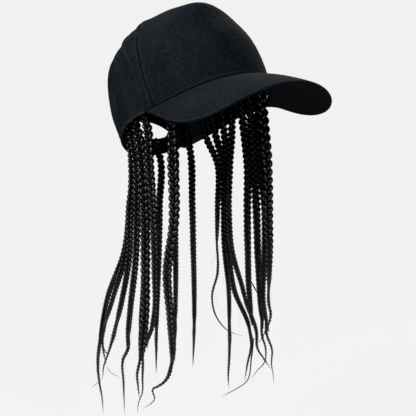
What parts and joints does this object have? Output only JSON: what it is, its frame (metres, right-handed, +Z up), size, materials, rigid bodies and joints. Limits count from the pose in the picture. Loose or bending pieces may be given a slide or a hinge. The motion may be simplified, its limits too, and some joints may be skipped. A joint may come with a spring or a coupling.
{
  "type": "baseball cap with braided hair",
  "caption": "Structured baseball cap with a curved brim and long black box braids hanging from inside its rim, worn as cap and hairpiece in one.",
  "frame": {"origin": "centre of the head opening at the rim, where a head carries the cap, named by the mount head_seat", "axes": "+Z up as worn, the wearer looks along -Y, the wearer's right is -X; the rim is tilted 19.8 degrees with the front up"},
  "size_m": [0.1817, 0.2657, 0.4664],
  "materials": {
    "twill": "blue-black cotton twill, matt, fine diagonal weave",
    "band_cloth": "black sweatband cloth, matt",
    "hair": "black synthetic braiding hair, satin"
  },
  "bodies": {
    "root": {"front_panel": "twill", "side_panel_right": "twill", "side_panel_left": "twill", "back_panel_right": "twill", "back_panel_left": "twill", "sweatband": "band_cloth", "back_strap": "twill", "brim": "twill", "top_button": "twill", "braid_01": "hair", "braid_02": "hair", "braid_03": "hair", "braid_04": "hair", "braid_05": "hair", "braid_06": "hair", "braid_07": "hair", "braid_08": "hair", "braid_09": "hair", "braid_10": "hair", "braid_11": "hair", "braid_12": "hair", "braid_13": "hair", "braid_14": "hair", "braid_15": "hair", "braid_16": "hair", "braid_17": "hair", "braid_18": "hair", "braid_19": "hair"}
  },
  "joints": []
}
